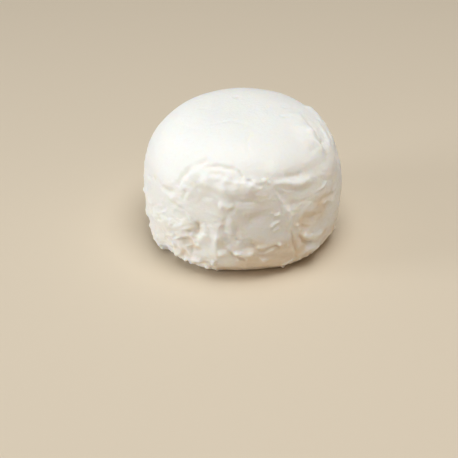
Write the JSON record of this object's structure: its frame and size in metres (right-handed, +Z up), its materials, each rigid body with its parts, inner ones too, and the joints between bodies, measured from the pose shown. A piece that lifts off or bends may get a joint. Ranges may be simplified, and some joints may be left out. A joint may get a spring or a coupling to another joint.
{
  "type": "robiola cheese",
  "caption": "Whole soft fresh white cheese: a low round drum with a smooth domed top, a torn lip at the front shoulder, folded sides and a flat foot.",
  "frame": {"origin": "centre of the flat foot that the cheese rests on", "axes": "+Z up, -Y towards the front with the torn lip, +X to the right as seen from the front"},
  "size_m": [0.1062, 0.1058, 0.0735],
  "materials": {
    "curd": "off-white soft curd, matt with a slight moist sheen, warmer cream in the hollows"
  },
  "bodies": {
    "root": {"cheese": "curd"}
  },
  "joints": []
}
